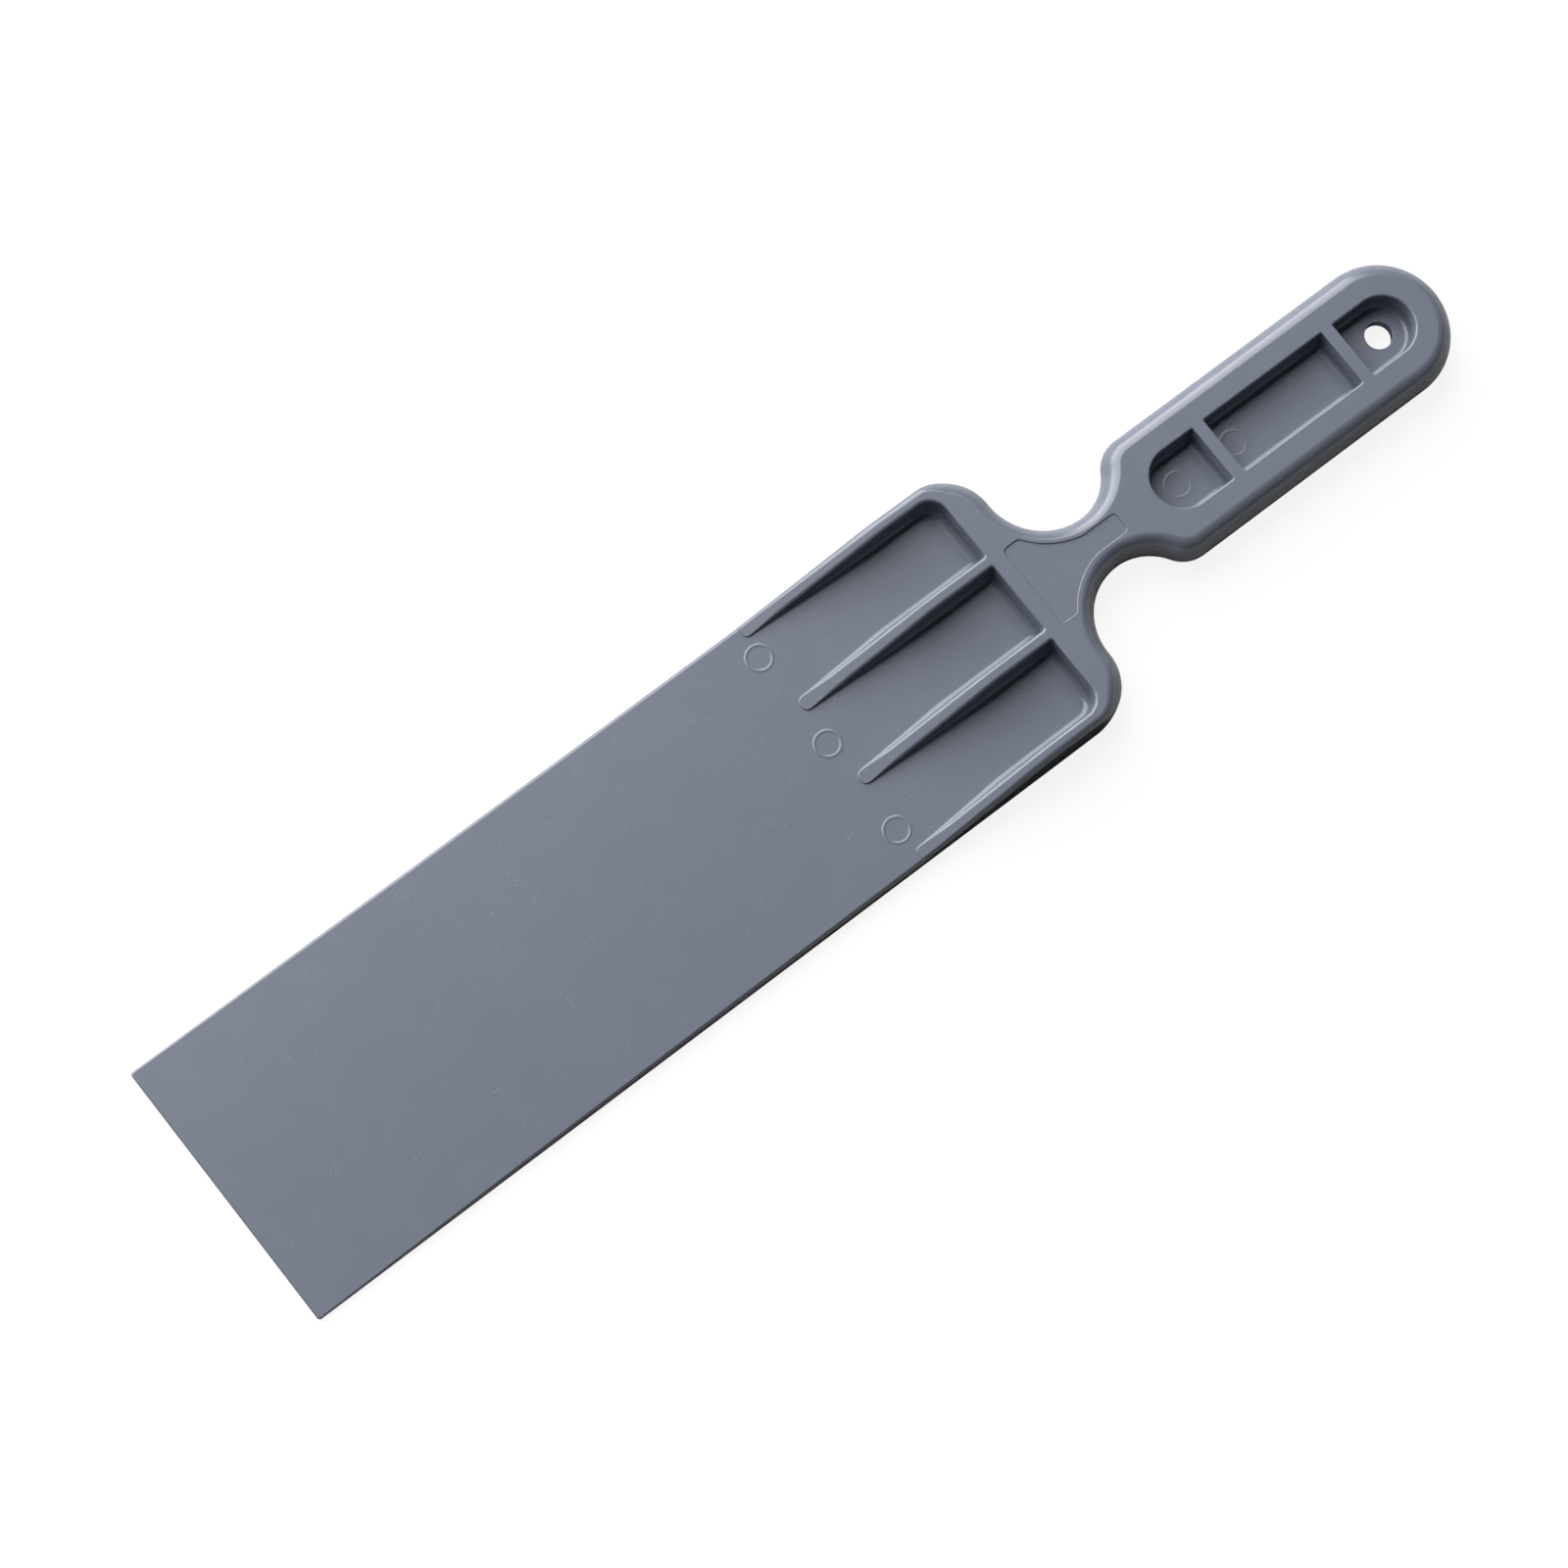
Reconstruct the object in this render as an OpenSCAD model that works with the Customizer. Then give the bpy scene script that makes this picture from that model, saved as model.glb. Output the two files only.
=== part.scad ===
// Wrap squeegee: a one-shot moulded plastic smoothing tool with a long thin blade,
// a ribbed frame behind it, a narrow neck and a grip with a hang hole.
// The members of the moulding meet face to face. Each one is a module below.
// X runs from the working edge to the grip's end, Z rises out of the ribbed face,
// and the flat back lies on Z = 0. The origin is the middle of the back.

/* [Body] */
// Thickness of the frame, neck and grip
body_h = 10.6; // [9:0.1:13]
// Plan width of the rounding round the neck and grip
edge_round = 3.4; // [2:0.1:4]

/* [Blade] */
// Length from the working edge to the shoulder bar
blade_len = 204.5; // [150:0.5:260]
// Width of the blade and the frame
blade_w = 63; // [58:0.5:80]
// Thickness at the working edge
edge_t = 0.9; // [0.7:0.1:1.6]
// Thickness at the shoulder bar
root_t = 4.4; // [3.2:0.1:5.4]
// Radius of the two working corners
blade_corner_r = 0.7; // [0.3:0.1:3]

/* [Rims and ribs] */
// Length of the rims and ribs along the blade
rib_run = 49; // [35:0.5:70]
// Length of their level part, next to the shoulder bar
rib_level = 16; // [8:0.5:24]
// Height of their tips above the blade
rib_tip_h = 0.9; // [0.5:0.1:2]
// Width of each stiffening rib
rib_w = 2.7; // [2:0.1:4]
// Distance between the two stiffening ribs, centre to centre
rib_pitch = 19.7; // [14:0.1:22]
// Width of each side rim
rim_w = 3.3; // [2.5:0.1:5]

/* [Shoulder and neck] */
// Depth of the shoulder bar, towards the grip
bar_depth = 8.8; // [7:0.1:10.9]
// Radius of the shoulder's outer corners
corner_r = 11; // [9:0.1:11.4]
// Radius inside the frame, where a rim meets the bar
inner_corner_r = 4.3; // [2:0.1:6]
// Width of the neck at its narrowest
neck_w = 12.6; // [10:0.1:13.5]
// Radius of the notch on the shoulder's side
notch_front_r = 13.7; // [12:0.1:13.8]
// Radius of the notch on the grip's side
notch_rear_r = 12; // [10:0.1:13]

/* [Recessed panel] */
// Depth of the bare fan-shaped panel
panel_depth = 0.35; // [0.2:0.05:0.8]
// Distance from the bar's inner wall to the panel
panel_setback = 3.5; // [2:0.1:5]
// Width of the panel's wide end
panel_w = 20; // [16:0.2:22]
// Distance kept from the notches
panel_margin = 4.1; // [3.8:0.1:4.6]
// Width of the panel's narrow arm
panel_arm_w = 4.9; // [3:0.1:6]
// Length of the arm past the middle of the neck
panel_arm_len = 5.2; // [2:0.1:6]
// Radius of the arm's two end corners
panel_corner_r = 1.1; // [0.5:0.1:1.4]

/* [Grip] */
// Width of the grip
grip_w = 30.6; // [27:0.1:36]
// Radius of the grip's front shoulders
grip_shoulder_r = 7.4; // [5:0.1:9]
// Distance from those shoulders' centres to the centre of the pocket's round front
grip_nose = 5.3; // [4:0.1:9]
// Distance between the centres of the pocket's round ends
pocket_run = 55.7; // [40:0.5:90]
// Width of the grip's pocket
pocket_w = 13.7; // [10:0.1:16]
// Depth of the pocket
pocket_depth = 5.8; // [4:0.1:6.4]
// Thickness of the web under the pocket
web_t = 2.6; // [2:0.1:3]
// Thickness of the two cross ribs
cross_rib_t = 2.6; // [1.8:0.1:4]
// Distance of the front cross rib from the pocket's front centre
front_rib_at = 9.9; // [6:0.1:14]
// Distance of the rear cross rib from the hang hole
rear_rib_at = 10.2; // [7:0.1:14]
// Diameter of the hang hole
hang_hole_d = 6.1; // [4:0.1:8]

/* [Hidden] */
plastic = [0.46, 0.48, 0.53];
plastic_light = [0.5, 0.52, 0.57];
cut = 1;
half_w = blade_w / 2;
shoulder_x = blade_len + bar_depth;
neck_x = shoulder_x + notch_front_r;
front_notch_y = neck_w / 2 + notch_front_r;
rear_notch_y = neck_w / 2 + notch_rear_r;
grip_shoulder_y = grip_w / 2 - grip_shoulder_r;
// The rear notch arc and the grip's shoulder arc touch, which places the grip
arc_reach = notch_rear_r + grip_shoulder_r;
arc_drop = rear_notch_y - grip_shoulder_y;
grip_shoulder_x = neck_x + sqrt(arc_reach * arc_reach - arc_drop * arc_drop);
touch_angle = -asin(arc_drop / arc_reach);
pocket_front_x = grip_shoulder_x + grip_nose;
hole_x = pocket_front_x + pocket_run;
total_len = hole_x + grip_w / 2;
web_top = body_h - pocket_depth;
rib_tip_x = blade_len - rib_run;
rib_level_x = blade_len - rib_level;
corner_start_x = blade_len - inner_corner_r;
// Turn of the shoulder's corner arc where the blade ends
corner_turn = asin((corner_r - bar_depth) / corner_r);
rim_in_y = half_w - rim_w;
edge_steps = 12;
arc_steps = 12;

function blade_top(x) = edge_t + (root_t - edge_t) * x / blade_len;
function arc(centre, r, from, to, steps = arc_steps) =
    [for (i = [0 : steps]) centre + r * [cos(from + (to - from) * i / steps),
                                         sin(from + (to - from) * i / steps)]];
function flipped(points) =
    [for (i = [len(points) - 1 : -1 : 0]) [points[i][0], -points[i][1]]];
// Half-round side of the body: how far in and how high each step of the edge lies
function edge_angle(k) = -90 + 180 * k / edge_steps;
function edge_in(k) = edge_round * (1 - cos(edge_angle(k)));
function edge_z(k) = body_h / 2 * (1 + sin(edge_angle(k)));

// Puts a shape drawn from the working edge in its place round the origin
module placed() {
    translate([-total_len / 2, 0, 0])
        children();
}

// A solid between rings of points, each ring one level of the rounded side.
// A ring is one side and its mirror image, so strips across it close the two ends
module ring_solid(rings) {
    count = len(rings[0]);
    top = (len(rings) - 1) * count;
    sides = [for (k = [0 : len(rings) - 2]) for (i = [0 : count - 1]) for (half = [0, 1])
        let (low = k * count, high = low + count, next = (i + 1) % count)
        half == 0 ? [low + i, high + i, high + next] : [low + i, high + next, low + next]];
    strips = [for (i = [0 : count / 2 - 2]) [i, i + 1, count - 2 - i, count - 1 - i]];
    lids = [for (strip = strips) [for (j = [3 : -1 : 0]) top + strip[j]]];
    polyhedron(
        points = [for (ring = rings) for (p = ring) p],
        faces = concat(strips, sides, lids),
        convexity = 8);
}

module blade() {
    color(plastic)
        placed()
            intersection() {
                translate([0, half_w, 0])
                    rotate([90, 0, 0])
                        linear_extrude(blade_w)
                            polygon([[0, 0], [blade_len, 0], [blade_len, root_t], [0, edge_t]]);
                linear_extrude(root_t + cut)
                    blade_plan();
            }
}

module blade_plan() {
    for (side = [-1, 1])
        translate([blade_corner_r, side * (half_w - blade_corner_r)])
            circle(blade_corner_r, $fn = 32);
    translate([0, -half_w + corner_r])
        square([blade_len, blade_w - 2 * corner_r]);
    translate([0, -half_w + blade_corner_r])
        square([shoulder_x - corner_r, blade_w - 2 * blade_corner_r]);
    translate([blade_corner_r, -half_w])
        square([shoulder_x - corner_r - blade_corner_r, blade_w]);
    intersection() {
        translate([0, -half_w])
            square([blade_len, blade_w]);
        for (side = [-1, 1])
            translate([shoulder_x - corner_r, side * (half_w - corner_r)])
                circle(corner_r, $fn = 96);
    }
}

// Side view of a rim or rib: it rises from the blade and then runs level
module rib_side(end_x) {
    polygon([
        [rib_tip_x, blade_top(rib_tip_x)],
        [end_x, blade_top(end_x)],
        [end_x, body_h],
        [rib_level_x, body_h],
        [rib_tip_x, blade_top(rib_tip_x) + rib_tip_h]
    ]);
}

module rib_bar(end_x, y, w) {
    translate([0, y + w / 2, 0])
        rotate([90, 0, 0])
            linear_extrude(w)
                rib_side(end_x);
}

module stiffening_rib(side) {
    y = side * rib_pitch / 2;
    tip = rib_w / 2;
    color(plastic_light)
        placed()
            intersection() {
                rib_bar(blade_len, y, rib_w);
                linear_extrude(body_h + cut)
                    union() {
                        translate([rib_tip_x + tip, y])
                            circle(tip, $fn = 32);
                        translate([rib_tip_x + tip, y - tip])
                            square([rib_run, rib_w]);
                    }
            }
}

module side_rim(side) {
    w = rim_w + inner_corner_r;
    color(plastic_light)
        placed()
            intersection() {
                rib_bar(blade_len, side * (half_w - w / 2), w);
                linear_extrude(body_h + cut)
                    intersection() {
                        blade_plan();
                        rim_plan(side);
                    }
            }
}

// Plan of a rim: a rounded tip, the straight run and a filled corner at the shoulder bar
module rim_plan(side) {
    corner_y = rim_in_y - inner_corner_r;
    translate([rib_tip_x + rim_w, side * half_w])
        circle(rim_w, $fn = 48);
    translate([rib_tip_x + rim_w, side > 0 ? rim_in_y : -half_w])
        square([rib_run - rim_w, rim_w]);
    difference() {
        translate([corner_start_x, side > 0 ? corner_y : -rim_in_y])
            square([inner_corner_r, inner_corner_r]);
        translate([corner_start_x, side * corner_y])
            circle(inner_corner_r, $fn = 64);
    }
}

module left_rim() {
    side_rim(1);
}

module right_rim() {
    side_rim(-1);
}

module left_rib() {
    stiffening_rib(1);
}

module right_rib() {
    stiffening_rib(-1);
}

// Outer side of one shoulder corner: plain at the blade, fully rounded from its middle on
function corner_side(d) =
    [for (i = [0 : arc_steps])
        let (turn = corner_turn + (90 - corner_turn) * i / arc_steps,
             r = corner_r - d * min(1, 2 * i / arc_steps))
        [shoulder_x - corner_r + r * sin(turn), half_w - corner_r + r * cos(turn)]];

function shoulder_ring(d, z) =
    let (side = corner_side(d), plan = concat(side, flipped(side)))
    [for (p = plan) [p[0], p[1], z]];

module shoulder_bar() {
    color(plastic)
        placed()
            difference() {
                ring_solid([for (k = [0 : edge_steps]) shoulder_ring(edge_in(k), edge_z(k))]);
                panel_recess();
            }
}

function rest(points) = [for (i = [1 : len(points) - 1]) points[i]];
// Side of the neck, along the two notch arcs, from the shoulder to the grip
function neck_side(d) = concat(
    arc([neck_x, front_notch_y], notch_front_r + d, 180, 270),
    rest(arc([neck_x, rear_notch_y], notch_rear_r + d, 270, 360 + touch_angle)));

function neck_ring(d, z) =
    let (side = neck_side(d), plan = concat(side, flipped(side)))
    [for (p = plan) [p[0], p[1], z]];

module neck() {
    color(plastic)
        placed()
            difference() {
                ring_solid([for (k = [0 : edge_steps]) neck_ring(edge_in(k), edge_z(k))]);
                panel_recess();
            }
}

module panel_recess() {
    translate([0, 0, body_h - panel_depth])
        linear_extrude(panel_depth + cut)
            fan();
}

// Fan-shaped outline: a wide end whose sides follow the notches, and a narrow arm
module fan() {
    front = blade_len + panel_setback;
    difference() {
        translate([front, -panel_w / 2])
            square([neck_x - front, panel_w]);
        for (side = [-1, 1])
            translate([neck_x, side * front_notch_y])
                circle(notch_front_r + panel_margin, $fn = 96);
    }
    translate([front, -panel_arm_w / 2])
        square([neck_x + panel_arm_len - panel_corner_r - front, panel_arm_w]);
    translate([front, -panel_arm_w / 2 + panel_corner_r])
        square([neck_x + panel_arm_len - front, panel_arm_w - 2 * panel_corner_r]);
    for (side = [-1, 1])
        translate([neck_x + panel_arm_len - panel_corner_r,
                   side * (panel_arm_w / 2 - panel_corner_r)])
            circle(panel_corner_r, $fn = 32);
}

// Outer side of the grip's nose, from the neck to the pocket's round front
function nose_side(d) = concat(
    arc([grip_shoulder_x, grip_shoulder_y], grip_shoulder_r - d, 180 + touch_angle, 90, 6),
    [[pocket_front_x, grip_w / 2 - d]]);

function nose_ring(d, z) =
    let (side = nose_side(d), plan = concat(side, flipped(side)))
    [for (p = plan) [p[0], p[1], z]];

module grip_nose_block() {
    color(plastic)
        placed()
            difference() {
                ring_solid([for (k = [0 : edge_steps]) nose_ring(edge_in(k), edge_z(k))]);
                translate([pocket_front_x, 0, -cut])
                    cylinder(r = pocket_w / 2, h = body_h + 2 * cut, $fn = 96);
            }
}

// Cross-section of the grip's wall, from the pocket to the rounded outer side
module rail_section() {
    polygon(concat(
        [for (k = [0 : edge_steps]) [grip_w / 2 - edge_in(k), edge_z(k)]],
        [[pocket_w / 2, body_h], [pocket_w / 2, 0]]));
}

module grip_rail() {
    translate([pocket_front_x, 0, 0])
        rotate([90, 0, 90])
            linear_extrude(pocket_run)
                rail_section();
}

module left_grip_rail() {
    color(plastic)
        placed()
            grip_rail();
}

module right_grip_rail() {
    color(plastic)
        placed()
            mirror([0, 1, 0])
                grip_rail();
}

module grip_end() {
    color(plastic)
        placed()
            translate([hole_x, 0, 0])
                rotate([0, 0, -90])
                    rotate_extrude(angle = 180, $fn = 96)
                        rail_section();
}

module pocket_plan() {
    for (x = [pocket_front_x, hole_x])
        translate([x, 0])
            circle(pocket_w / 2, $fn = 96);
    translate([pocket_front_x, -pocket_w / 2])
        square([pocket_run, pocket_w]);
}

module grip_web() {
    color(plastic_light)
        placed()
            translate([0, 0, web_top - web_t])
                difference() {
                    linear_extrude(web_t)
                        pocket_plan();
                    translate([hole_x, 0, -cut])
                        cylinder(d = hang_hole_d, h = web_t + 2 * cut, $fn = 64);
                }
}

module cross_rib(x) {
    color(plastic_light)
        placed()
            translate([x - cross_rib_t / 2, -pocket_w / 2, web_top])
                cube([cross_rib_t, pocket_w, pocket_depth]);
}

module front_cross_rib() {
    cross_rib(pocket_front_x + front_rib_at);
}

module rear_cross_rib() {
    cross_rib(hole_x - rear_rib_at);
}

blade();
left_rim();
right_rim();
left_rib();
right_rib();
shoulder_bar();
neck();
grip_nose_block();
left_grip_rail();
right_grip_rail();
grip_end();
grip_web();
front_cross_rib();
rear_cross_rib();
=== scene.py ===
import math

import bpy
import numpy as np
from mathutils import Matrix, Vector
from mathutils.geometry import delaunay_2d_cdt


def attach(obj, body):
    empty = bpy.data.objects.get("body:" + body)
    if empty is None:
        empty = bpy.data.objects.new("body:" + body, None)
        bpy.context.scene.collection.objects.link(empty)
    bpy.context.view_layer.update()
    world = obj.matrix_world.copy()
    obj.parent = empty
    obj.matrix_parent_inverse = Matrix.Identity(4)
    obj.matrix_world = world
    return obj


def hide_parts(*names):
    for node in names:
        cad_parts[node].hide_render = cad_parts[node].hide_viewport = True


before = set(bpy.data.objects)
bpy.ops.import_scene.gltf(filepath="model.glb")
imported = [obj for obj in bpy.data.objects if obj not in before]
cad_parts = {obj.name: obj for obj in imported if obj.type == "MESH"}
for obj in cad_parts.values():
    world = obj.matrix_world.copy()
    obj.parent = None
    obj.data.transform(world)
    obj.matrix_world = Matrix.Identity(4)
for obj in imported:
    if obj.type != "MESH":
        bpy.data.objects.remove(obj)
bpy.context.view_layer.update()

# Everything is drawn in millimetres from the working edge and moved to the frame's metres at the end
up = np.array([0.0, 0.0, 1.0])

body = {
    "height": 10.6,        # frame, neck and grip
    "edgeRound": 3.9,      # plan width of the half-round outer edge
    "waistRound": 3.5,     # and at the neck's waist
    "roundPower": 1.85,    # 2 is an ellipse, less is leaner
    "length": 319.6767,    # working edge to the grip's end
}


# Paths in plan: where each station stands and which way the open side lies

def makePath(base, normal):
    count = len(base)
    return {"base": np.array(base, float), "normal": np.array(normal, float),
            "tight": np.zeros(count, bool), "vertex": np.zeros((count, 2)),
            "both": np.zeros((count, 2)), "radius": np.zeros(count)}


def straightRun(start, end, normal, stops=(0.0, 1.0)):
    # point = start + t * (end - start)
    t = np.array(stops, float)[:, None]
    base = np.array(start, float) + t * (np.array(end, float) - np.array(start, float))
    return makePath(base, np.repeat([normal], len(t), axis=0))


def arcRun(centre, radius, fromDeg, toDeg, count, outward=True):
    # point = centre + radius * (cos a, sin a); the normal is that direction or its opposite
    turn = np.radians(np.linspace(fromDeg, toDeg, count))
    ray = np.stack([np.cos(turn), np.sin(turn)], axis=1)
    return makePath(np.array(centre) + radius * ray, ray if outward else -ray)


def tightCorner(vertex, firstNormal, secondNormal, radius, count=7):
    # two walls meet at vertex; the round between them keeps its place while the walls are offset
    turn = np.linspace(0.0, math.pi / 2, count)[:, None]
    first, second = np.array(firstNormal, float), np.array(secondNormal, float)
    normal = np.cos(turn) * first + np.sin(turn) * second
    both = first + second
    run = makePath(np.array(vertex) + radius * both - radius * normal, normal)
    run["tight"][:] = True
    run["vertex"][:] = vertex
    run["both"][:] = both
    run["radius"][:] = radius
    return run


def joinRuns(*runs):
    # each run starts where the one before ended; of the two equal stations a tight corner's stays
    joined = runs[0]
    for run in runs[1:]:
        keep, skip = (-1, 0) if run["tight"][0] else (None, 1)
        joined = {key: np.concatenate([joined[key][:keep], run[key][skip:]]) for key in run}
    return joined


def offsetPlan(path, offset, least=0.05):
    # plain station: base + offset * normal
    # tight corner: vertex + (offset + r) * (n1 + n2) - r * n, with r = radius - offset, never under least
    base, normal = path["base"][:, None, :], path["normal"][:, None, :]
    plain = base + offset[..., None] * normal
    r = np.maximum(path["radius"][:, None] - offset, least)[..., None]
    corner = (path["vertex"][:, None, :] + (offset[..., None] + r) * path["both"][:, None, :]
              - r * normal)
    return np.where(path["tight"][:, None, None], corner, plain)


def along(points):
    # direction of travel from station to station
    return np.gradient(points, axis=0)


def easeBetween(x, start, end):
    # 3t^2 - 2t^3 between start and end
    t = np.clip((x - start) / (end - start), 0, 1)
    return t * t * (3 - 2 * t)


def unit(vectors):
    return vectors / np.maximum(np.linalg.norm(vectors, axis=-1, keepdims=True), 1e-12)


def surfaceNormals(points, profileTangent, outwardHint):
    # normal = profile direction x path direction, turned to the open side
    normal = unit(np.cross(profileTangent, along(points)))
    side = np.sign(np.sum(normal * outwardHint, axis=-1, keepdims=True))
    return normal * np.where(side == 0, 1, side)


def lift(plan, z):
    return np.concatenate([plan, z[..., None]], axis=-1)


# The outer side: a round under, a leaning straight part and a round over

def outerStrip(path, top, overIn, overUp, underIn, underUp, lean=0.0, steps=11):
    # each round follows u^n + v^n = 1: inset = in * (1 - u), height = up * (1 - v) from the nearest face,
    # with u = (cos a)^(2/n) and v = (sin a)^(2/n); the upper round stands further in by the lean
    power = body["roundPower"]
    a = np.radians(np.linspace(90, 0, steps))[None, :]
    out, rise = np.clip(np.cos(a), 0, 1) ** (2 / power), np.sin(a) ** (2 / power)
    outBack, riseBack = out[:, ::-1], rise[:, ::-1]
    lowIn, lowUp = underIn[:, None], underUp[:, None]
    highIn, highUp = overIn[:, None], overUp[:, None]
    further = np.broadcast_to(lean, top.shape)[:, None]
    inset = np.concatenate([lowIn * (1 - out), further + highIn * (1 - outBack)], axis=1)
    z = np.concatenate([lowUp * (1 - rise), top[:, None] - highUp * (1 - riseBack)], axis=1)
    points = lift(offsetPlan(path, -inset), z)
    # the profile's direction is (in * v^(n-1), up * u^(n-1))
    steep, level = out ** (power - 1), rise ** (power - 1)
    steepBack, levelBack = steep[:, ::-1], level[:, ::-1]
    tangentOut = np.concatenate([lowIn * level, -highIn * levelBack], axis=1)
    tangentUp = np.concatenate([lowUp * steep, highUp * steepBack], axis=1)
    normal = path["normal"][:, None, :]
    full = np.ones_like(inset)
    tangent = lift(tangentOut[..., None] * normal, tangentUp)
    hint = lift((np.concatenate([steep, steepBack], axis=1) * full)[..., None] * normal,
                np.concatenate([-level, levelBack], axis=1) * full)
    rub = np.sin(2 * np.concatenate([a, a[:, ::-1]], axis=1)) * full
    return {"points": points, "normals": surfaceNormals(points, tangent, hint), "rub": np.abs(rub)}


# An inner wall: a round at its top edge, a drafted face and a fillet down to the floor

def wallStrip(path, topAt, floorAt, roundTop, roundFloor, draft=2.3, steps=7, floorNormal=None):
    # offset grows from -round at the flat top to the fillet's end on the floor
    lean = math.radians(90 - draft)
    a = np.linspace(0, lean, steps)[None, :]
    b = a[:, ::-1]

    def planX(offset):
        return offsetPlan(path, offset[:, None])[:, 0, 0]

    top = topAt(planX(-roundTop))
    floor = floorAt(path["base"][:, 0])
    for turn in range(4):
        height = top - floor
        over = np.minimum(roundTop, 0.45 * height)
        under = np.minimum(roundFloor, 0.4 * height)
        wallFrom = top - over * (1 - math.cos(lean))
        wallTo = floor + under * (1 - math.cos(lean))
        foot = (-over + over * math.sin(lean) + math.tan(math.radians(draft)) * (wallFrom - wallTo)
                + under * math.sin(lean))
        top = topAt(planX(-over))
        floor = floorAt(planX(foot))
    over, under, foot = over[:, None], under[:, None], foot[:, None]
    top, floor = top[:, None], floor[:, None]
    offset = np.concatenate([-over + over * np.sin(a), foot - under * np.sin(b)], axis=1)
    z = np.concatenate([top - over * (1 - np.cos(a)), floor + under * (1 - np.cos(b))], axis=1)
    points = lift(offsetPlan(path, offset), z)
    both = np.concatenate([a, b], axis=1)
    normal = path["normal"][:, None, :]
    full = np.ones_like(offset)
    tangent = lift((np.cos(both) * full)[..., None] * normal, -np.sin(both) * full)
    hint = lift((np.sin(both) * full)[..., None] * normal, np.cos(both) * full)
    normals = surfaceNormals(points, tangent, hint)
    if floorNormal is not None:
        normals[:, -1] = floorNormal
    rub = np.concatenate([np.sin(2 * a), 0 * b], axis=1) * full
    return {"points": points, "normals": normals, "rub": np.abs(rub)}


def turnedOver(strip):
    # the same wall seen from the back: z changes sign
    flip = np.array([1.0, 1.0, -1.0])
    return {"points": strip["points"] * flip, "normals": strip["normals"] * flip, "rub": strip["rub"]}


def cutStrip(strip, start, end):
    return {key: value[start:end + 1] for key, value in strip.items()}


# Patches are triangles with their own normals, so that neighbours can share a seam unseen

def gridPatch(strip):
    p, n, r = strip["points"], strip["normals"], strip["rub"]
    first, after = slice(0, -1), slice(1, None)
    corners = [(first, first), (after, first), (after, after), (first, after)]

    def split(values):
        # the four corners of every quad, as two triangles
        a, b, c, d = (values[rows, columns].reshape((-1,) + values.shape[2:]) for rows, columns in corners)
        return np.concatenate([np.stack([a, b, c], axis=1), np.stack([a, c, d], axis=1)])

    return facing({"points": split(p), "normals": split(n), "rub": split(r)})


def facing(patch):
    # every triangle is wound so that it faces the way its normals point
    p = patch["points"]
    flat = np.cross(p[:, 1] - p[:, 0], p[:, 2] - p[:, 0])
    wrong = np.sum(flat * patch["normals"].sum(axis=1), axis=1) < 0
    order = np.where(wrong[:, None], [0, 2, 1], [0, 1, 2])
    rows = np.arange(len(p))[:, None]
    return {key: value[rows, order] for key, value in patch.items()}


def flatPatch(loop, hint, holes=()):
    # a flat outline, filled; holes are round: (x, y, radius, ring of points)
    # its normal is half the sum of p x q over the outline's edges, turned to the hint's side
    loop = dropRepeats(loop)
    normal = np.sum(np.cross(loop, np.roll(loop, -1, axis=0)), axis=0)
    normal = unit(normal * np.sign(normal @ np.array(hint, float)))
    side = unit(np.cross(normal, [0.0, 0.0, 1.0] if abs(normal[2]) < 0.9 else [0.0, 1.0, 0.0]))
    loops = [loop] + [dropRepeats(hole[3]) for hole in holes]
    points = np.concatenate(loops)
    starts = np.cumsum([0] + [len(one) for one in loops])
    ring = [start + np.arange(len(one)) for one, start in zip(loops, starts)]
    edges = np.concatenate([np.stack([at, np.roll(at, -1)], axis=1) for at in ring])
    flat = np.stack([points @ side, points @ np.cross(normal, side)], axis=1)
    found, _, faces, _, _, _ = delaunay_2d_cdt(flat.tolist(), edges.tolist(), [], 1, 1e-7)
    # each corner found is put back on the outline's own point nearest to it
    nearest = np.abs(np.array(found)[:, None] - flat).sum(axis=2).argmin(axis=1)
    tri = points[nearest[np.array(faces, int)]]
    for x, y, radius, _ in holes:
        middle = tri.mean(axis=1)
        tri = tri[np.hypot(middle[:, 0] - x, middle[:, 1] - y) > radius]
    return facing({"points": tri, "normals": np.broadcast_to(normal, tri.shape).copy(),
                   "rub": np.zeros(tri.shape[:2])})


def dropRepeats(points):
    points = np.asarray(points, float)
    keep = np.linalg.norm(points - np.roll(points, 1, axis=0), axis=1) > 1e-5
    return points[keep]


def ruledPatch(first, second, hint):
    # straight lines from each point of one line to the same point of the other, for hidden closing walls
    points = np.stack([first, second], axis=1)
    hint = np.broadcast_to(np.asarray(hint, float), first.shape)
    return facing(gridPatch({"points": points, "normals": np.stack([hint, hint], axis=1),
                             "rub": np.zeros(points.shape[:2])}))


def mirrored(patch):
    flip = np.array([1.0, -1.0, 1.0])
    order = [0, 2, 1]
    return {"points": (patch["points"] * flip)[:, order], "normals": (patch["normals"] * flip)[:, order],
            "rub": patch["rub"][:, order]}


def bothSides(*patches):
    return list(patches) + [mirrored(patch) for patch in patches]


def acrossY(line):
    # the same line on the other side, run back, so that the two join into one outline
    return (np.asarray(line) * [1.0, -1.0, 1.0])[::-1]


def dropTo(points, z=0.0):
    lowered = np.array(points, float)
    lowered[..., 2] = z
    return lowered


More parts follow.
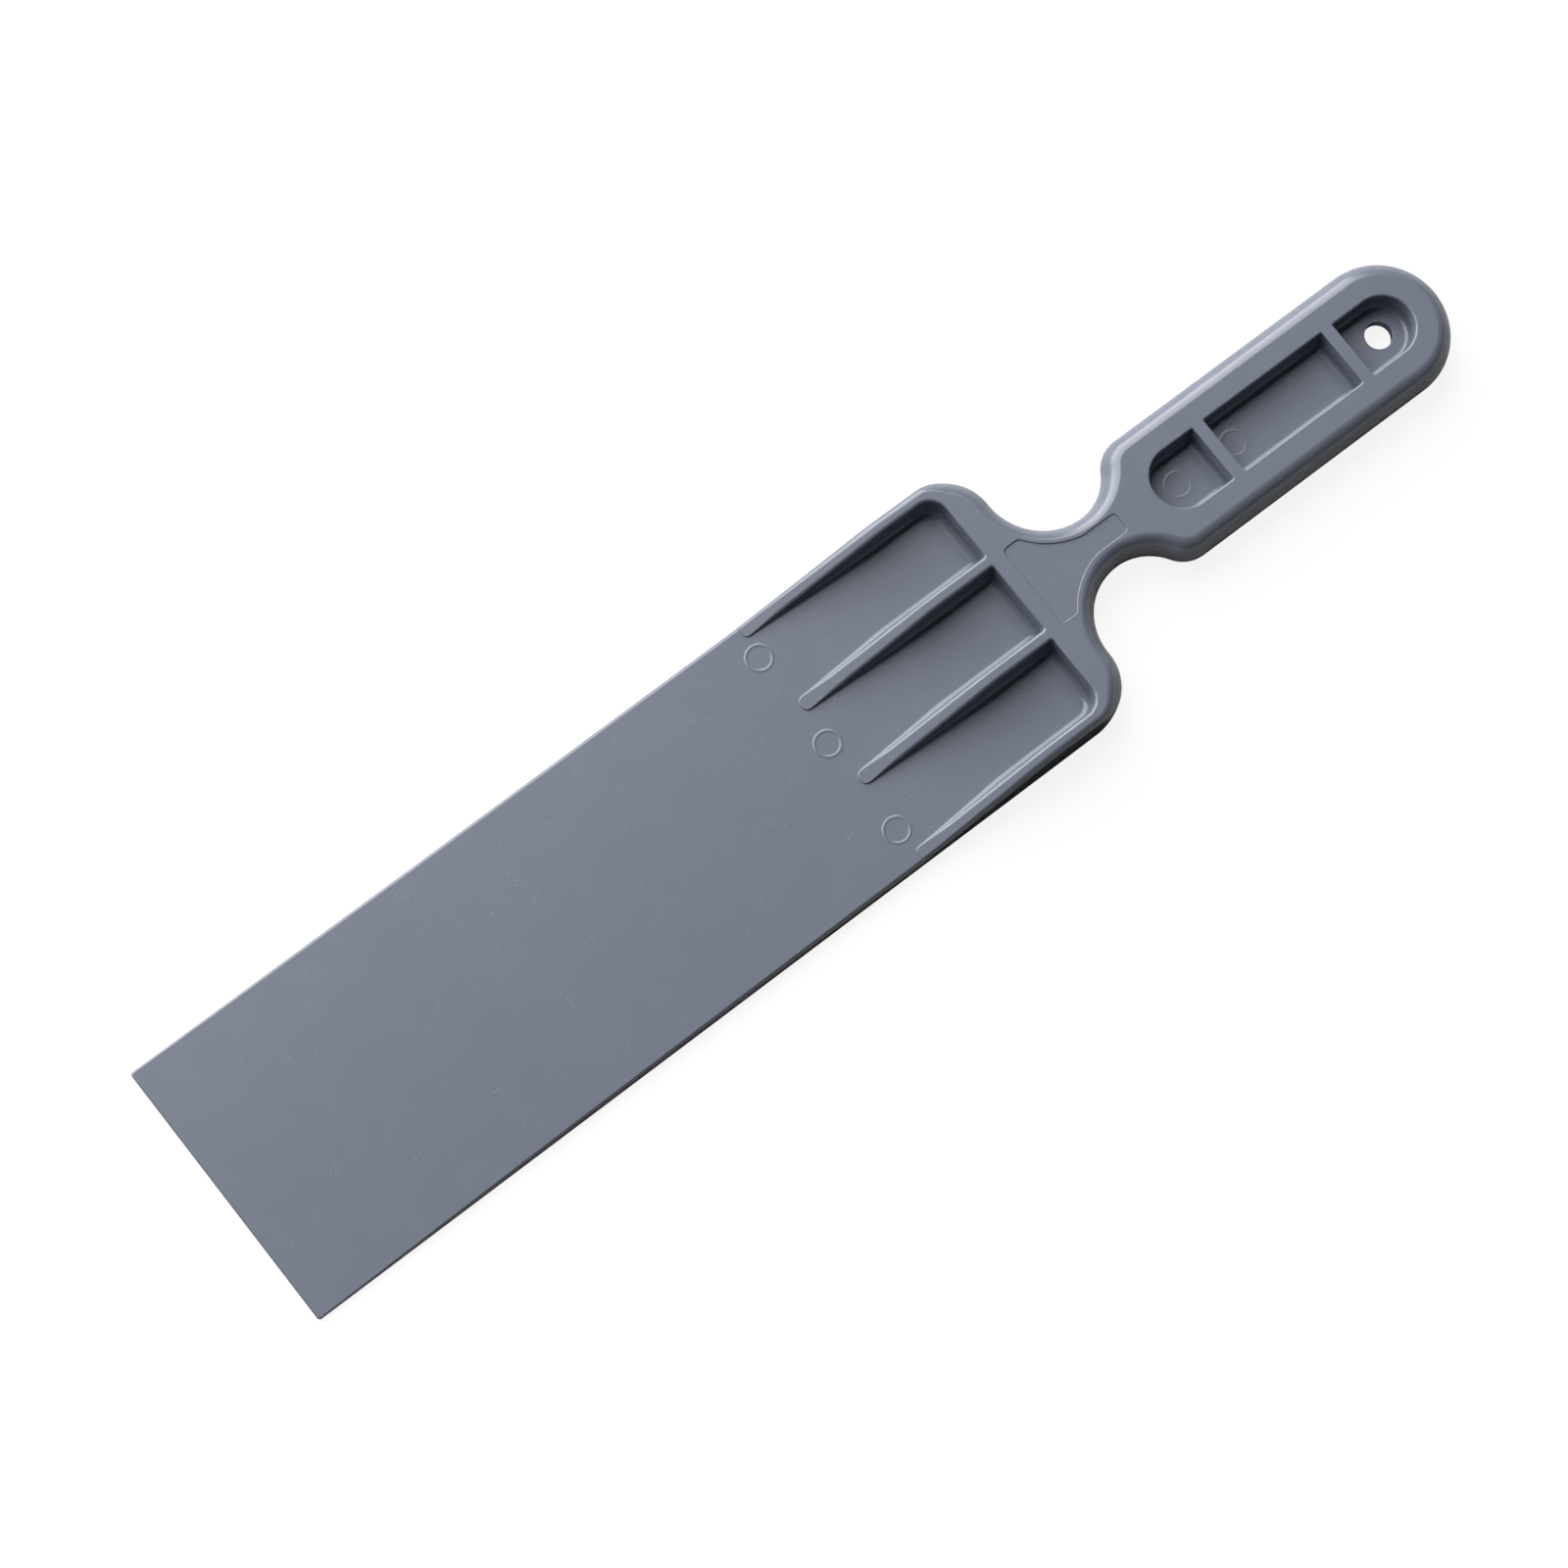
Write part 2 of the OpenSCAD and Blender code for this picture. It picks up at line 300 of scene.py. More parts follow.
def makePiece(name, node, patches):
    # corners in the same place, to 0.0002 mm, become one vertex, and triangles that shrink to a line go
    p = np.concatenate([patch["points"] for patch in patches])
    n = np.concatenate([patch["normals"] for patch in patches])
    r = np.concatenate([patch["rub"] for patch in patches])
    keys = np.round((p.reshape(-1, 3) + 0.00003) * 5000).astype(np.int64)
    _, first, index = np.unique(keys, axis=0, return_index=True, return_inverse=True)
    tri = index.reshape(-1, 3)
    keep = (tri[:, 0] != tri[:, 1]) & (tri[:, 1] != tri[:, 2]) & (tri[:, 0] != tri[:, 2])
    tri, n, r = tri[keep], n[keep], r[keep]
    vertices = (p.reshape(-1, 3)[first] - [body["length"] / 2, 0, 0]) / 1000
    mesh = bpy.data.meshes.new(name)
    mesh.from_pydata(vertices.tolist(), [], tri.tolist())
    mesh.shade_smooth()
    mesh.normals_split_custom_set(unit(n).reshape(-1, 3).tolist())
    rub = np.zeros(len(vertices))
    np.maximum.at(rub, tri.reshape(-1), r.reshape(-1))
    mesh.attributes.new("edgeRub", "FLOAT", "POINT").data.foreach_set("value", rub.astype(np.float32))
    piece = bpy.data.objects.new(name, mesh)
    bpy.context.scene.collection.objects.link(piece)
    mesh.materials.append(slatePlastic)
    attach(piece, "root")
    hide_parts(node)
    edges = np.sort(np.concatenate([tri[:, [0, 1]], tri[:, [1, 2]], tri[:, [2, 0]]]), axis=1)
    used = np.unique(edges, axis=0, return_counts=True)[1]
    print(name, len(tri), "triangles,", int(np.sum(used != 2)), "edges not shared by two")
    return piece


# Small makers of nodes, shared by the plastic and the floor

def shaderKit(name):
    material = bpy.data.materials.new(name)
    material.use_nodes = True
    nodes, links = material.node_tree.nodes, material.node_tree.links

    def maths(kind, first, second):
        node = nodes.new("ShaderNodeMath")
        node.operation = kind
        links.new(first, node.inputs[0])
        links.new(second, node.inputs[1])
        return node.outputs[0]

    def spread(source, low, high, outLow, outHigh):
        # straight line from low..high to outLow..outHigh, held at its ends
        node = nodes.new("ShaderNodeMapRange")
        for name, value in (("From Min", low), ("From Max", high), ("To Min", outLow), ("To Max", outHigh)):
            node.inputs[name].default_value = value
        links.new(source, node.inputs["Value"])
        return node.outputs["Result"]

    return material, nodes, links, maths, spread


# Material: one semi-matte slate-grey plastic for the whole moulding

finish = {
    "deep": (0.157, 0.177, 0.224),     # linear colour in the duller patches
    "light": (0.165, 0.185, 0.234),    # and in the lighter ones
    "rubbed": (0.235, 0.258, 0.310),   # on rubbed edges
    "cloudSize": 14.0,                 # patches a metre
    "scuffSize": 170.0,                # faint handling marks a metre
    "grainSize": 1900.0,               # moulded grain a metre
    "grainHeight": 0.000007,           # metres
    "grainStrength": 0.25,
    "roughLow": 0.23,
    "roughHigh": 0.275,
    "edgePolish": 0.03,                # how much smoother a rubbed edge is
    "refraction": 1.6,
}


def plasticMaterial():
    material, nodes, links, maths, spread = shaderKit("slatePlastic")
    shader = nodes["Principled BSDF"]
    place = nodes.new("ShaderNodeTexCoord")
    rub = nodes.new("ShaderNodeAttribute")
    rub.attribute_name = "edgeRub"

    def noise(scale, detail, roughness):
        node = nodes.new("ShaderNodeTexNoise")
        for name, value in (("Scale", scale), ("Detail", detail), ("Roughness", roughness)):
            node.inputs[name].default_value = value
        links.new(place.outputs["Object"], node.inputs["Vector"])
        return node.outputs["Fac"]

    def mix(factor, first, second):
        node = nodes.new("ShaderNodeMix")
        node.data_type = "RGBA"
        links.new(factor, node.inputs[0])
        for socket, value in ((node.inputs[6], first), (node.inputs[7], second)):
            if isinstance(value, tuple):
                socket.default_value = value + (1.0,)
            else:
                links.new(value, socket)
        return node.outputs[2]

    cloud = noise(finish["cloudSize"], 4.0, 0.55)
    grain = noise(finish["grainSize"], 3.0, 0.6)
    scuff = noise(finish["scuffSize"], 4.0, 0.6)
    tone = mix(spread(cloud, 0.35, 0.65, 0.0, 1.0), finish["deep"], finish["light"])
    worn = maths("MULTIPLY", rub.outputs["Fac"], spread(scuff, 0.42, 0.72, 0.0, 0.5))
    links.new(mix(worn, tone, finish["rubbed"]), shader.inputs["Base Color"])
    dull = spread(maths("MULTIPLY", scuff, grain), 0.12, 0.4, finish["roughLow"], finish["roughHigh"])
    polish = maths("SUBTRACT", dull, spread(rub.outputs["Fac"], 0.0, 1.0, 0.0, finish["edgePolish"]))
    links.new(polish, shader.inputs["Roughness"])
    bump = nodes.new("ShaderNodeBump")
    bump.inputs["Strength"].default_value = finish["grainStrength"]
    bump.inputs["Distance"].default_value = finish["grainHeight"]
    links.new(maths("ADD", grain, spread(scuff, 0.0, 1.0, 0.0, 0.5)), bump.inputs["Height"])
    links.new(bump.outputs["Normal"], shader.inputs["Normal"])
    shader.inputs["IOR"].default_value = finish["refraction"]
    return material


slatePlastic = plasticMaterial()
print("plastic mixed")


# Blade

blade = {
    "length": 204.5,       # working edge to the shoulder bar
    "halfWidth": 31.5,
    "edgeThick": 0.9,
    "rootThick": 4.4,
    "cornerRound": 0.7,    # plan radius of the two working corners
    # plan width of the long sides' upper round and how far they lean in, at distances from the edge
    "sideRound": [(0, 0.38), (40, 0.6), (145, 0.85), (160, 0.85), (188, 1.4)],
    "sideLean": [(0, 0.0), (60, 0.15), (160, 0.15), (190, 0.3)],
    "underRound": 0.3,     # round on the back
    "pinMarks": [(154.9, 23.3), (154.9, 0.3), (154.9, -22.7)],
    "pinRadius": 2.8,
    "pinBead": 0.08,       # height of the faint ring that an ejector pin leaves
    "pinBeadWidth": 1.0,
}
bladeSlope = (blade["rootThick"] - blade["edgeThick"]) / blade["length"]
bladeUp = unit(np.array([-bladeSlope, 0.0, 1.0]))


def bladeTop(x):
    return blade["edgeThick"] + bladeSlope * x


# Frame: the rims, the ribs and the bar are one wall that winds round the blade's root

ribbing = {
    "rimTip": 155.2,       # where the rims and ribs start
    "ribTip": 155.6,
    "levelFrom": 188.5,    # where they reach full height
    "tipHeight": 0.22,     # above the blade
    "sag": 0.3,            # how far the ramp bows down
    "soften": 0.4,         # blend from the ramp to the level part
    "rimInner": 28.17,
    "rimTipRound": 1.1,
    "ribMiddle": 9.85,
    "ribHalf": 1.35,
    "edgeRound": 0.72,     # top edges of ribs and rims
    "barRound": 0.45,      # top edge of the bar
    "floorRound": 1.7,
    "draft": 2.6,          # degrees, of the ribs' sides
    "innerRound": 4.3,     # plan radius where a rim meets the bar
    "ribRootRound": 0.5,   # plan radius where a rib meets the bar
    "barFace": 204.48,
    "tipInset": 1.0,       # the side's round and lean at the rim's tip
    "sideUp": 1.6,         # height of the round of the rim's outer side
}


def frameTop(x):
    # a straight ramp with a slight bow, blended into the level top: min(a, b) - (k - |a - b|)^2 / 4k
    start = ribbing["rimTip"]
    u = np.clip((x - start) / (ribbing["levelFrom"] - start), -0.1, 1.6)
    low = bladeTop(start) + ribbing["tipHeight"]
    ramp = low + (body["height"] - low) * u - 4 * ribbing["sag"] * u * (1 - u) * (u < 1)
    k = ribbing["soften"]
    blend = np.maximum(k - np.abs(ramp - body["height"]), 0)
    return np.minimum(ramp, body["height"]) - blend ** 2 / (4 * k)


half, tipX = blade["halfWidth"], ribbing["rimTip"]
rimY, rimTipRound = ribbing["rimInner"], ribbing["rimTipRound"]
innerRound, barX = ribbing["innerRound"], ribbing["barFace"]
ribY, ribHalf = ribbing["ribMiddle"], ribbing["ribHalf"]
levelX = 193.0
rampStops = np.linspace(0, 1, 26)
rampEnd = (levelX - tipX - rimTipRound) / (barX - innerRound - tipX - rimTipRound)
ribStart = ribbing["ribTip"] + ribHalf
ribRoot = barX - ribbing["ribRootRound"]
ribStops = np.concatenate([np.linspace(0, (levelX - ribStart) / (ribRoot - ribStart), 26), [1.0]])
innerPath = joinRuns(
    straightRun((tipX, half - ribbing["tipInset"]), (tipX, rimY + rimTipRound), (-1, 0)),
    arcRun((tipX + rimTipRound, rimY + rimTipRound), rimTipRound, 180, 270, 9),
    straightRun((tipX + rimTipRound, rimY), (barX - innerRound, rimY), (0, -1),
                np.concatenate([rampStops * rampEnd, [1.0]])),
    arcRun((barX - innerRound, rimY - innerRound), innerRound, 90, 0, 15, outward=False),
    straightRun((barX, rimY - innerRound), (barX, ribY + ribHalf + ribbing["ribRootRound"]), (-1, 0)),
    tightCorner((barX, ribY + ribHalf), (-1, 0), (0, 1), ribbing["ribRootRound"]),
    straightRun((ribRoot, ribY + ribHalf), (ribStart, ribY + ribHalf), (0, 1), 1 - ribStops[::-1]),
    arcRun((ribStart, ribY), ribHalf, 90, 270, 17),
    straightRun((ribStart, ribY - ribHalf), (ribRoot, ribY - ribHalf), (0, -1), ribStops),
    tightCorner((barX, ribY - ribHalf), (0, -1), (-1, 0), ribbing["ribRootRound"]),
    straightRun((barX, ribY - ribHalf - ribbing["ribRootRound"]), (barX, 0), (-1, 0)),
)
rampCount = 1 + 8 + 25                      # index of the last ramp station on the rim
arcEnd = rampCount + 1 + 14                 # the end of the arc into the bar
rimEnd = arcEnd - 7                         # and its middle, where the bar starts
ribFrom = arcEnd + 1 + 6                    # the rib's root on its outer side
ribTo = ribFrom + 26 + 16 + 26              # and on its inner side
# the ribs' sides lean: lower down the ramp the rib is wider, by tan(draft) * (height - top)
ribSpan = slice(ribFrom, ribTo + 1)
lower = body["height"] - frameTop(innerPath["base"][ribSpan, 0])
innerPath["base"][ribSpan] += (innerPath["normal"][ribSpan] * lower[:, None]
                               * math.tan(math.radians(ribbing["draft"])))
station = np.arange(len(innerPath["base"]))
onBar = np.interp(station, [rampCount + 1, arcEnd, arcEnd + 1, ribFrom, ribTo, ribTo + 6],
                  [0, 1, 1, 0, 0, 1])
topEdgeRound = ribbing["edgeRound"] + (ribbing["barRound"] - ribbing["edgeRound"]) * onBar
floorRound = np.full(len(station), ribbing["floorRound"])
inner = wallStrip(innerPath, frameTop, bladeTop, topEdgeRound, floorRound, floorNormal=bladeUp)
innerTop, innerFloor = inner["points"][:, 0], inner["points"][:, -1]


# Outer side of the whole tool, from the middle of the working edge to the grip's end

neck = {
    "shoulderRound": 11.0,
    "shoulderBack": 213.3,   # the bar's rear face
    "neckMiddle": 227.0,
    "neckHalf": 6.3,
    "frontNotch": 13.7,
    "rearNotch": 12.0,
}
grip = {
    "half": 15.3,
    "shoulderRound": 7.4,
    "shoulderX": 243.3767,
    "pocketFront": 248.6767,
    "pocketRear": 304.3767,
}
frontY = neck["neckHalf"] + neck["frontNotch"]
rearY = neck["neckHalf"] + neck["rearNotch"]
gripY = grip["half"] - grip["shoulderRound"]
touch = -math.degrees(math.asin((rearY - gripY) / (neck["rearNotch"] + grip["shoulderRound"])))
cornerX = neck["shoulderBack"] - neck["shoulderRound"]
cornerY = half - neck["shoulderRound"]
barTurn = math.degrees(math.acos((blade["length"] - cornerX) / neck["shoulderRound"]))
tipProfile = inner["points"][0, ::-1]       # from the blade up to the rim's top, at the rim's tip
tipCount = len(tipProfile) - 1
sideX = np.concatenate([tipProfile[:, 0], innerTop[1:rampCount + 1, 0]])
sideTop = np.concatenate([tipProfile[:, 2], innerTop[1:rampCount + 1, 2]])
round0 = blade["cornerRound"]
outerPath = joinRuns(
    straightRun((0, 0), (0, half - round0), (-1, 0)),
    arcRun((round0, half - round0), round0, 180, 90, 9),
    straightRun((round0, half), (58.7, half), (0, 1), np.linspace(0, 1, 7)),
    straightRun((58.7, half), (sideX[0], half), (0, 1), np.linspace(0, 1, 4)),
    makePath(np.stack([sideX, np.full(len(sideX), half)], axis=1), np.repeat([(0, 1)], len(sideX), axis=0)),
    straightRun((sideX[-1], half), (cornerX, half), (0, 1)),
    arcRun((cornerX, cornerY), neck["shoulderRound"], 90, barTurn, 4),
    arcRun((cornerX, cornerY), neck["shoulderRound"], barTurn, 0, 21),
    straightRun((neck["shoulderBack"], cornerY), (neck["shoulderBack"], frontY), (1, 0)),
    arcRun((neck["neckMiddle"], frontY), neck["frontNotch"], 180, 270, 31, outward=False),
    arcRun((neck["neckMiddle"], rearY), neck["rearNotch"], 270, 360 + touch, 21, outward=False),
    arcRun((grip["shoulderX"], gripY), grip["shoulderRound"], 180 + touch, 90, 21),
    straightRun((grip["shoulderX"], grip["half"]), (grip["pocketFront"], grip["half"]), (0, 1)),
    straightRun((grip["pocketFront"], grip["half"]), (grip["pocketRear"], grip["half"]), (0, 1)),
    arcRun((grip["pocketRear"], 0), grip["half"], 90, 0, 37),
)
counts = np.cumsum([1, 8, 6, 3, len(sideX) - 1, 1, 3, 20, 1, 30, 20, 20, 1, 1, 36])
# stations at the rim's tip and ramp end, the bar, the notch's middle, the grip, its pocket and its end
picked = counts[[3, 4, 6, 8, 10, 12, 13, 14]].tolist()
sideFrom, sideTo, barAt, notchAt, touchAt, frontAt, rearAt, endAt = picked
outerX = outerPath["base"][:, 0]
outerTopZ = np.where(outerX < sideX[0] + 1e-6, bladeTop(outerX), body["height"])
outerTopZ[sideFrom:sideTo + 1] = sideTop
sideIn = np.interp(outerX, *zip(*blade["sideRound"]))
sideLean = np.interp(outerX, *zip(*blade["sideLean"]))
sideUp = np.minimum(np.interp(outerX, [0, 20], [0.42, 0.55]) * outerTopZ, ribbing["sideUp"])
bladeUnder = np.minimum(blade["underRound"], 0.3 * bladeTop(outerX))


turned = np.degrees(np.arctan2(outerX - cornerX, outerPath["base"][:, 1] - cornerY))
onCorner = np.where(outerX <= cornerX - 0.01, 0.0, easeBetween(turned, -8, 46))
onCorner[notchAt:] = 1.0
halfHeight = body["height"] / 2
onWaist = easeBetween(outerX, 211, 219) * (1 - easeBetween(outerX, 234, 242))
roundWidth = body["edgeRound"] + (body["waistRound"] - body["edgeRound"]) * onWaist
outer = outerStrip(outerPath, outerTopZ,
                   sideIn + (roundWidth - sideIn) * onCorner,
                   sideUp + (halfHeight - sideUp) * onCorner,
                   bladeUnder + (roundWidth - bladeUnder) * onCorner,
                   bladeUnder + (halfHeight - bladeUnder) * onCorner,
                   sideLean * (1 - onCorner))
outerTop, outerLow = outer["points"][:, -1], outer["points"][:, 0]
print("outer side and inner wall worked out")


# Bare fan-shaped panel, sunk into the bar and the neck

panel = {
    "depth": 0.28, "front": 208.0, "half": 10.0, "cornerRound": 1.2, "margin": 4.1,
    "armHalf": 2.45, "armEnd": 232.2, "armRound": 1.1, "edgeRound": 0.1, "seam": 209.4,
}
fanR = neck["frontNotch"] + panel["margin"]
fanCorner = panel["cornerRound"]
filletY = panel["half"] - fanCorner
filletX = neck["neckMiddle"] - math.sqrt((fanR + fanCorner) ** 2 - (frontY - filletY) ** 2)
filletTurn = math.degrees(math.atan2(frontY - filletY, neck["neckMiddle"] - filletX))
armX = neck["neckMiddle"] - math.sqrt(fanR ** 2 - (frontY - panel["armHalf"]) ** 2)
armTurn = 180 + math.degrees(math.atan2(frontY - panel["armHalf"], neck["neckMiddle"] - armX))
armRound, armEnd, armHalf = panel["armRound"], panel["armEnd"], panel["armHalf"]
fanPath = joinRuns(
    straightRun((panel["front"], 0), (panel["front"], filletY), (1, 0)),
    arcRun((panel["front"] + fanCorner, filletY), fanCorner, 180, 90, 8, outward=False),
    straightRun((panel["front"] + fanCorner, panel["half"]), (panel["seam"], panel["half"]), (0, -1)),
    straightRun((panel["seam"], panel["half"]), (filletX, panel["half"]), (0, -1)),
    arcRun((filletX, filletY), fanCorner, 90, filletTurn, 6, outward=False),
    arcRun((neck["neckMiddle"], frontY), fanR, 180 + filletTurn, armTurn, 19),
    straightRun((armX, armHalf), (armEnd - armRound, armHalf), (0, -1)),
    arcRun((armEnd - armRound, armHalf - armRound), armRound, 90, 0, 8, outward=False),
    straightRun((armEnd, armHalf - armRound), (armEnd, 0), (-1, 0)),
)
fanSeam = 1 + 7 + 1
level = np.ones(len(fanPath["base"]))
fan = wallStrip(fanPath, lambda x: 0 * x + body["height"],
                lambda x: 0 * x + body["height"] - panel["depth"],
                panel["edgeRound"] * level, panel["edgeRound"] * level, draft=6, steps=4)
fanTop, fanFloor = fan["points"][:, 0], fan["points"][:, -1]


# Grip cells: three pockets in a row, with two cross ribs between them

cells = {
    "half": 6.85,            # half width at the pocket's upper edge
    "floor": 4.8,
    "frontRib": (257.15, 260.1),
    "rearRib": (292.75, 295.7),
    "wallRound": 0.45,       # top edge of the pocket walls
    "ribRound": 0.25,        # and of the cross ribs
    "cornerRound": 0.35,
    "floorRound": 1.2,
    "backHalf": 7.0,         # the recess in the back
    "backDepth": 2.2,
    "hangHole": 3.05,
    "pinMarks": [(248.7, 0.0), (264.0, 0.0)],
}
cellHalf, cellCorner = cells["half"], cells["cornerRound"]
pocketFront, pocketRear = grip["pocketFront"], grip["pocketRear"]
(ribA, ribB), (ribC, ribD) = cells["frontRib"], cells["rearRib"]
frontCell = joinRuns(
    arcRun((pocketFront, 0), cellHalf, 180, 90, 21, outward=False),
    straightRun((pocketFront, cellHalf), (ribA - cellCorner, cellHalf), (0, -1)),
    tightCorner((ribA, cellHalf), (0, -1), (-1, 0), cellCorner),
    straightRun((ribA, cellHalf - cellCorner), (ribA, 0), (-1, 0)),
)
middleCell = joinRuns(
    straightRun((ribB, 0), (ribB, cellHalf - cellCorner), (1, 0)),
    tightCorner((ribB, cellHalf), (1, 0), (0, -1), cellCorner),
    straightRun((ribB + cellCorner, cellHalf), (ribC - cellCorner, cellHalf), (0, -1)),
    tightCorner((ribC, cellHalf), (0, -1), (-1, 0), cellCorner),
    straightRun((ribC, cellHalf - cellCorner), (ribC, 0), (-1, 0)),
)
rearCell = joinRuns(
    straightRun((ribD, 0), (ribD, cellHalf - cellCorner), (1, 0)),
    tightCorner((ribD, cellHalf), (1, 0), (0, -1), cellCorner),
    straightRun((ribD + cellCorner, cellHalf), (pocketRear, cellHalf), (0, -1)),
    arcRun((pocketRear, 0), cellHalf, 90, 0, 21, outward=False),
)


def cellWall(path, knots, rounds):
    # the top edge's round changes along the path between the given stations
    topRound = np.interp(np.arange(len(path["base"])), knots, rounds)
    return wallStrip(path, lambda x: 0 * x + body["height"], lambda x: 0 * x + cells["floor"],
                     topRound, np.full(len(topRound), cells["floorRound"]), draft=2.0)


wallRound, ribRound = cells["wallRound"], cells["ribRound"]
frontWall = cellWall(frontCell, [21, 27], [wallRound, ribRound])
middleWall = cellWall(middleCell, [1, 7, 8, 14], [ribRound, wallRound, wallRound, ribRound])
rearWall = cellWall(rearCell, [1, 7], [ribRound, wallRound])
frontParts = {"nose": (0, 20), "rail": (20, 21), "rib": (21, 28)}
middleParts = {"ribBefore": (0, 7), "rail": (7, 8), "ribAfter": (8, 15)}
rearParts = {"rib": (0, 7), "rail": (7, 8), "end": (8, 28)}

# the recess in the back has a station wherever the pockets' foot has one along the rails
railFoot = np.concatenate([frontWall["points"][20:22, -1], middleWall["points"][7:9, -1],
                           rearWall["points"][7:9, -1]])
railStops = (railFoot[:, 0] - pocketFront) / (pocketRear - pocketFront)
backPath = joinRuns(
    arcRun((pocketFront, 0), cells["backHalf"], 180, 90, 21, outward=False),
    straightRun((pocketFront, cells["backHalf"]), (pocketRear, cells["backHalf"]), (0, -1), railStops),
    arcRun((pocketRear, 0), cells["backHalf"], 90, 0, 21, outward=False),
)
backLevel = np.ones(len(backPath["base"]))
recess = turnedOver(wallStrip(backPath, lambda x: 0 * x, lambda x: 0 * x - cells["backDepth"],
                              0.3 * backLevel, 0.3 * backLevel, draft=2.0))
pocketTop = np.concatenate([frontWall["points"][:22, 0], middleWall["points"][7:9, 0],
                            rearWall["points"][7:, 0]])
pocketFoot = np.concatenate([frontWall["points"][:22, -1], middleWall["points"][7:9, -1],
                             rearWall["points"][7:, -1]])
backEdge, backFoot = recess["points"][:, 0], recess["points"][:, -1]
footNormal = lift(backPath["normal"], np.zeros(len(backFoot)))
railFrom, railTo = 20, 25
print("grip pockets worked out:", len(pocketFoot), "stations in front,", len(backFoot), "behind")


# Small raised ring that an ejector pin leaves in the moulding

def pinMark(x, y, floorAt, floorNormal, radius, width, height, count=48):
    # ring of stations round the pin; height * cos^2 across the bead's width
    turn = np.linspace(0, 2 * math.pi, count + 1)[:, None]
    across = np.linspace(-1, 1, 9)[None, :]
    r = radius + across * width / 2
    px, py = x + r * np.cos(turn), y + r * np.sin(turn)
    hump = np.cos(across * math.pi / 2)
    bead = height * hump ** 2
    points = np.stack([px, py, floorAt(px) + bead], axis=-1)
    slope = height * math.pi / width * np.sin(across * math.pi)
    normals = np.stack([slope * np.cos(turn), slope * np.sin(turn), np.ones_like(px)], axis=-1)
    normals = unit(normals + floorNormal - up)
    ring = {"points": points, "normals": normals, "rub": np.zeros_like(px) + 0.3 * hump}
    disc = flatPatch(points[:-1, 0], floorNormal)
    return [gridPatch(ring), disc], (x, y, radius + width / 2, points[:-1, -1])


def pinMarks(places, floorAt, floorNormal, height):
    made = [pinMark(x, y, floorAt, floorNormal, blade["pinRadius"], blade["pinBeadWidth"], height)
            for x, y in places]
    return [patch for patches, _ in made for patch in patches], [hole for _, hole in made]


# Blade: a thin wedge with its long sides rounded

openWay = lift(innerPath["normal"], np.zeros(len(inner["points"])))
openWay[ribFrom] = [-0.7, 0.7, 0]
openWay[ribTo] = [-0.7, -0.7, 0]
rootPick = np.r_[0:ribFrom + 1, ribTo:len(openWay)]      # straight across each rib's root
rootLine, rootWay = innerFloor[rootPick], openWay[rootPick]
beads, beadHoles = pinMarks(blade["pinMarks"], bladeTop, bladeUp, blade["pinBead"])
topHalf = np.concatenate([outerTop[:sideFrom + 1], rootLine[1:]])
lowHalf = np.concatenate([outerLow[:sideFrom + 1], dropTo(rootLine)])
tipSection = np.concatenate([outer["points"][sideFrom], dropTo(outerTop[[sideFrom]])])
makePiece("bladeWedge", "blade", beads + [
    flatPatch(np.concatenate([topHalf, acrossY(topHalf)]), bladeUp, beadHoles),
    flatPatch(np.concatenate([lowHalf, acrossY(lowHalf)]), -up),
] + bothSides(
    gridPatch(cutStrip(outer, 0, sideFrom)),
    ruledPatch(rootLine, dropTo(rootLine), -rootWay),
    flatPatch(tipSection, (1, 0, 0)),
))


# Rims: each long side rises up a ramp and runs round the shoulder into the bar

def rampNormal(x):
    # (-dH/dx, 0, 1) for the ramp's height H
    slope = (frameTop(x + 0.01) - frameTop(x - 0.01)) / 0.02
    return unit(np.stack([-slope, 0 * slope, 1 + 0 * slope], axis=-1))


def rampPatch(first, second):
    points = np.stack([first, second], axis=1)
    return gridPatch({"points": points, "normals": rampNormal(points[..., 0]),
                      "rub": np.zeros(points.shape[:2])})


def barSeam(sign):
    # section under the outer edge, wall under the seam's line, section under the inner edge
    over, under = outerTop[barAt], innerTop[rimEnd]
    outerPart = np.concatenate([outer["points"][barAt], dropTo(over[None])])
    middlePart = np.array([over, under, dropTo(under), dropTo(over)])
    innerPart = np.concatenate([inner["points"][rimEnd], dropTo(np.array([innerFloor[rimEnd], under]))])
    return [flatPatch(outerPart, (sign, -0.2 * sign, 0)), flatPatch(middlePart, (sign, 0, 0)),
            flatPatch(innerPart, (sign, -sign, 0))]


rimLevel = np.concatenate([outerTop[sideTo:barAt + 1], innerTop[rampCount:rimEnd + 1][::-1]])
rimUnder = np.concatenate([outerLow[sideFrom:barAt + 1],
                           dropTo(np.array([outerTop[barAt], innerTop[rimEnd]])),
                           dropTo(innerFloor[:rimEnd + 1][::-1])])
rimPatches = [
    gridPatch(cutStrip(outer, sideFrom, barAt)),
    gridPatch(cutStrip(inner, 0, rimEnd)),
    rampPatch(outerTop[sideFrom + tipCount:sideTo + 1], innerTop[:rampCount + 1]),
    flatPatch(rimLevel, up),
    flatPatch(rimUnder, -up),
    ruledPatch(innerFloor[:rimEnd + 1], dropTo(innerFloor[:rimEnd + 1]), openWay[:rimEnd + 1]),
    flatPatch(tipSection, (-1, 0, 0)),
] + barSeam(1)
makePiece("leftRimWall", "left_rim", rimPatches)
makePiece("rightRimWall", "right_rim", [mirrored(patch) for patch in rimPatches])


# Ribs: two tongues that run out on the blade from the bar

